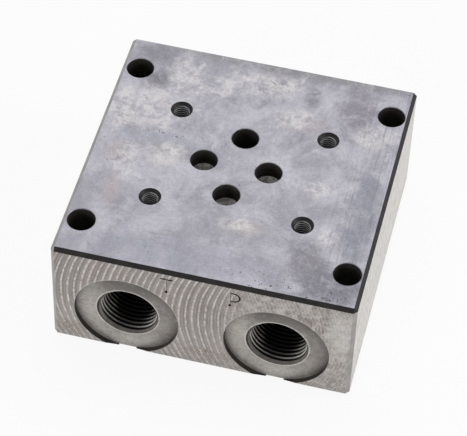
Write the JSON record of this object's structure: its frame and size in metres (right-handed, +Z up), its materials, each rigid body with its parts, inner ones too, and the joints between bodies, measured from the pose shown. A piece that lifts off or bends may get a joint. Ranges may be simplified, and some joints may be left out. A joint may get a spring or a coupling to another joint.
{
  "type": "hydraulic manifold block",
  "caption": "Square steel hydraulic manifold block with a valve interface on top, threaded side ports and corner mounting holes.",
  "frame": {"origin": "centre of the underside, which it stands on", "axes": "+X along the front face to the right, +Y from the front ports to the rear, +Z up through the valve face"},
  "size_m": [0.08, 0.08, 0.035],
  "materials": {
    "steel": "ground top, milled sides"
  },
  "bodies": {
    "root": {"manifold_block": "steel"}
  },
  "joints": []
}
